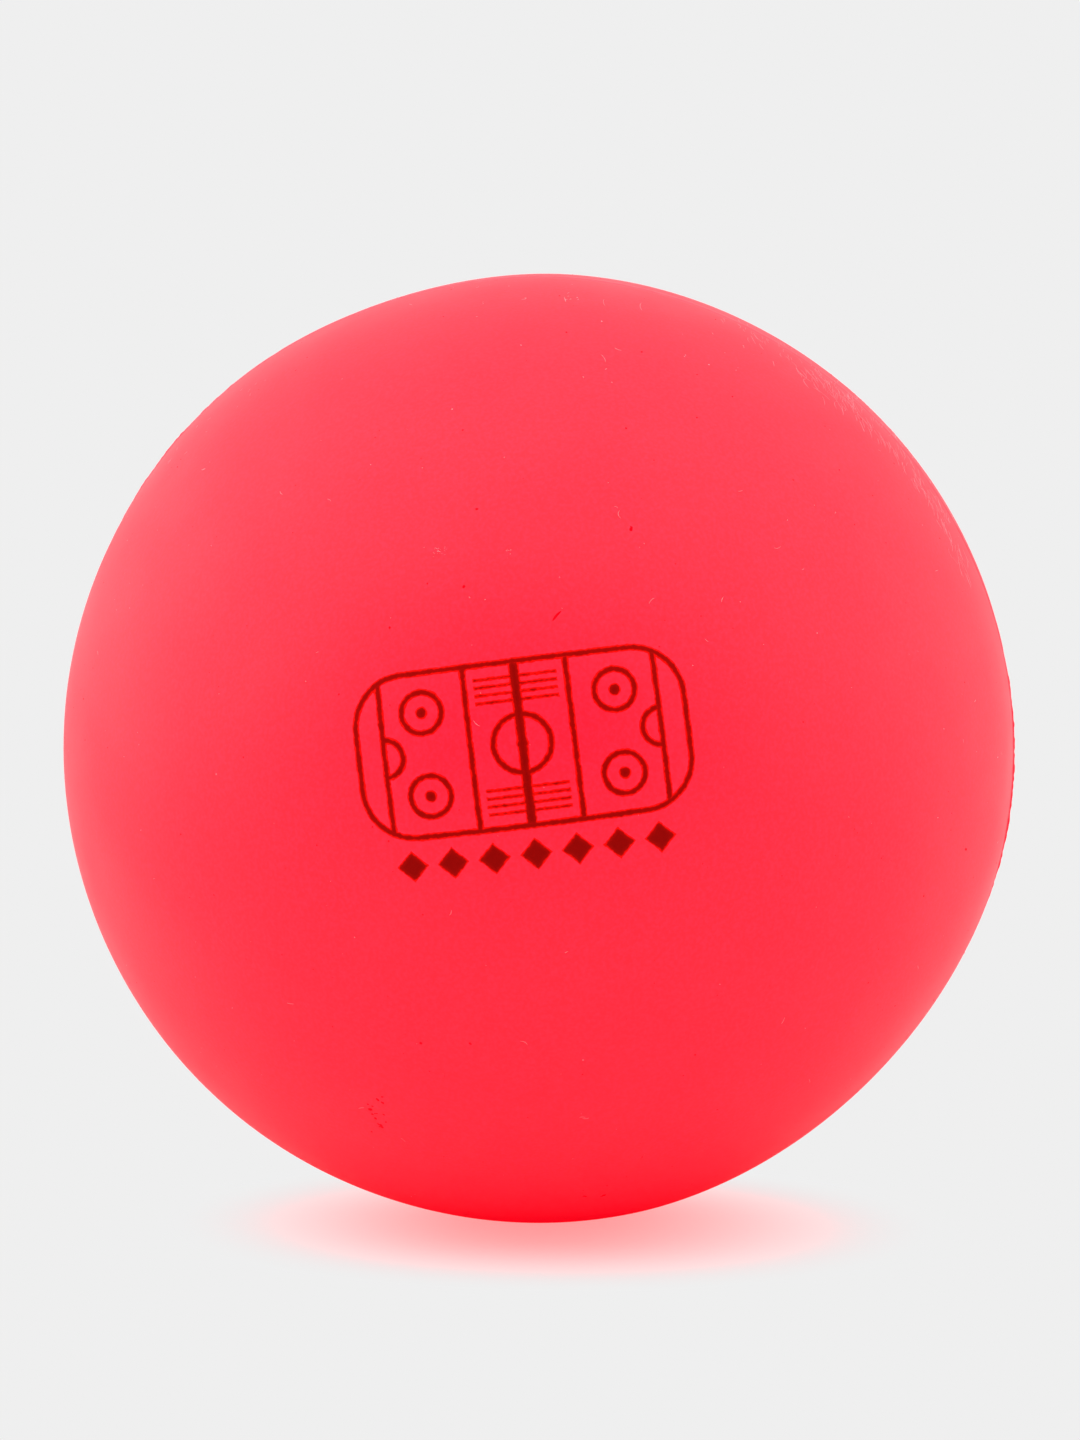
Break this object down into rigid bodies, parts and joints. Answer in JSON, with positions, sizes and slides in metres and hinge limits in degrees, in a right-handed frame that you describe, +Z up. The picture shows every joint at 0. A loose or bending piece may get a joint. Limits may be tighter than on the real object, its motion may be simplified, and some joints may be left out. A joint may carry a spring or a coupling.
{
  "type": "street hockey ball",
  "caption": "Hollow soft vinyl ball for street hockey, moulded in one piece, with a trimmed parting ridge and traces of flash.",
  "frame": {"origin": "centre of the ball", "axes": "+Z up as it lies, parting line in the XZ plane, so that the halves of the mould lie towards -Y and +Y"},
  "size_m": [0.0663, 0.066, 0.0662],
  "materials": {
    "soft_vinyl": "satin, moulded, neon pink-red all through",
    "print_ink": "pad-printed vinyl ink, dark red, a thin uneven film",
    "surface_traces": "dust, grit and scuffed vinyl, matt"
  },
  "bodies": {
    "root": {"ball": "soft_vinyl"}
  },
  "joints": []
}
